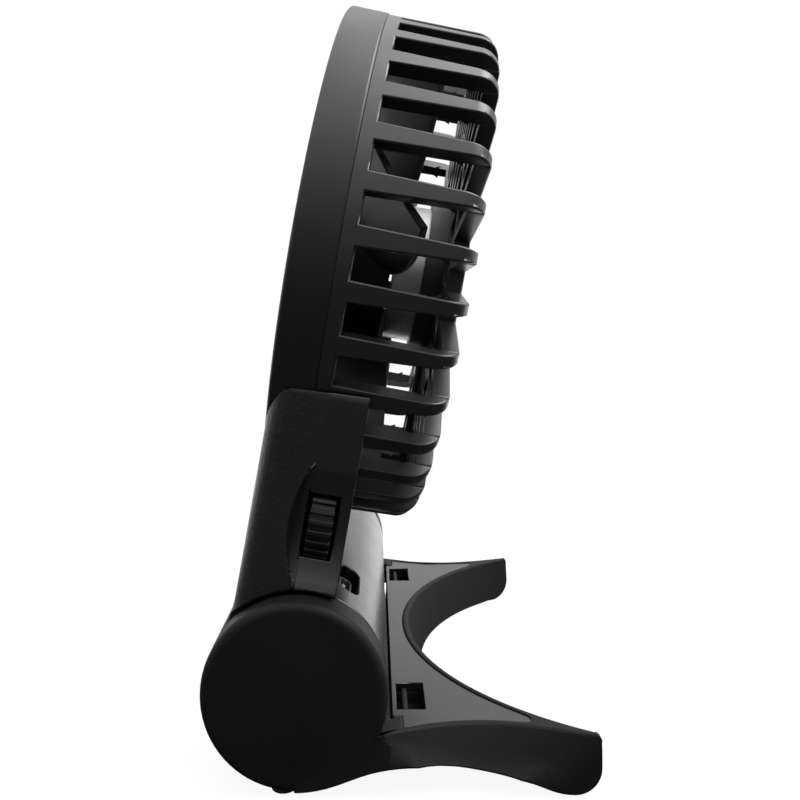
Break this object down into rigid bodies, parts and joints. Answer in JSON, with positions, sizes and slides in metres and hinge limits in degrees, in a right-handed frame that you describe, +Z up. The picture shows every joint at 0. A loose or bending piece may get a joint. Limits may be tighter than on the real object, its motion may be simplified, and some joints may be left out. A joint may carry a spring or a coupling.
{
  "type": "folding usb desk fan",
  "caption": "Folding desk fan: round caged head in a wide arm that tilts and folds down onto a forked foot, with a ribbed speed dial and a power inlet.",
  "frame": {"origin": "on the ground under the middle of the foot's outline", "axes": "+X to the rear, away from the side the fan blows to, +Y along the hinge, +Z up"},
  "size_m": [0.0684, 0.1116, 0.1502],
  "materials": {
    "soft_black": "soft satin moulded black",
    "smooth_black": "smooth semi-gloss moulded black",
    "grained_black": "fine leather-like moulded grain, black",
    "head_black": "satin moulded black",
    "blade_black": "semi-gloss moulded black",
    "dial_black": "satin black, ribbed",
    "rubber_black": "matt black rubber",
    "inner_plastic": "plain moulded dark grey",
    "lead_black": "flexible black insulation",
    "steel": "plain bright steel",
    "magnet_grey": "sintered and laminated dark grey",
    "bronze": "oil-filled sintered bronze",
    "board_green": "green solder-masked laminate"
  },
  "bodies": {
    "foot": {"foot_base": "soft_black", "foot_top_plate": "smooth_black", "hinge_pin_near": "steel", "hinge_pin_far": "steel", "friction_washers": "steel", "drum_pads": "rubber_black", "toe_pads": "rubber_black"},
    "arm": {"arm_front_shell": "grained_black", "arm_rear_shell": "smooth_black", "hinge_bushes": "inner_plastic", "arm_screws": "steel", "power_socket": "steel", "socket_tongue": "inner_plastic", "control_board": "board_green", "speed_control": "inner_plastic", "front_ring": "head_black", "front_grille": "head_black", "basket_band": "head_black", "basket_face": "head_black", "head_screws": "steel", "motor_can": "steel", "motor_magnet": "magnet_grey", "motor_end_bell": "inner_plastic", "front_bearing": "bronze", "rear_bearing": "bronze", "motor_lead": "lead_black"},
    "rotor": {"motor_shaft": "steel", "motor_armature": "magnet_grey", "impeller": "blade_black"},
    "dial": {"speed_dial": "dial_black"}
  },
  "joints": [
    {"name": "arm_fold", "type": "hinge", "parent": "foot", "child": "arm", "pos_m": [-0.01815, 0, 0.01685], "axis": [0, 1, 0], "range_deg": [-9.94, 74]},
    {"name": "fan_spin", "type": "hinge", "parent": "arm", "child": "rotor", "pos_m": [-0.0048, 0, 0.09302], "axis": [0.985, 0, -0.1726], "continuous": true},
    {"name": "dial_turn", "type": "hinge", "parent": "arm", "child": "dial", "pos_m": [-0.01404, -0.0417, 0.04435], "axis": [0.985, 0, -0.1726], "range_deg": [0, 270]}
  ]
}
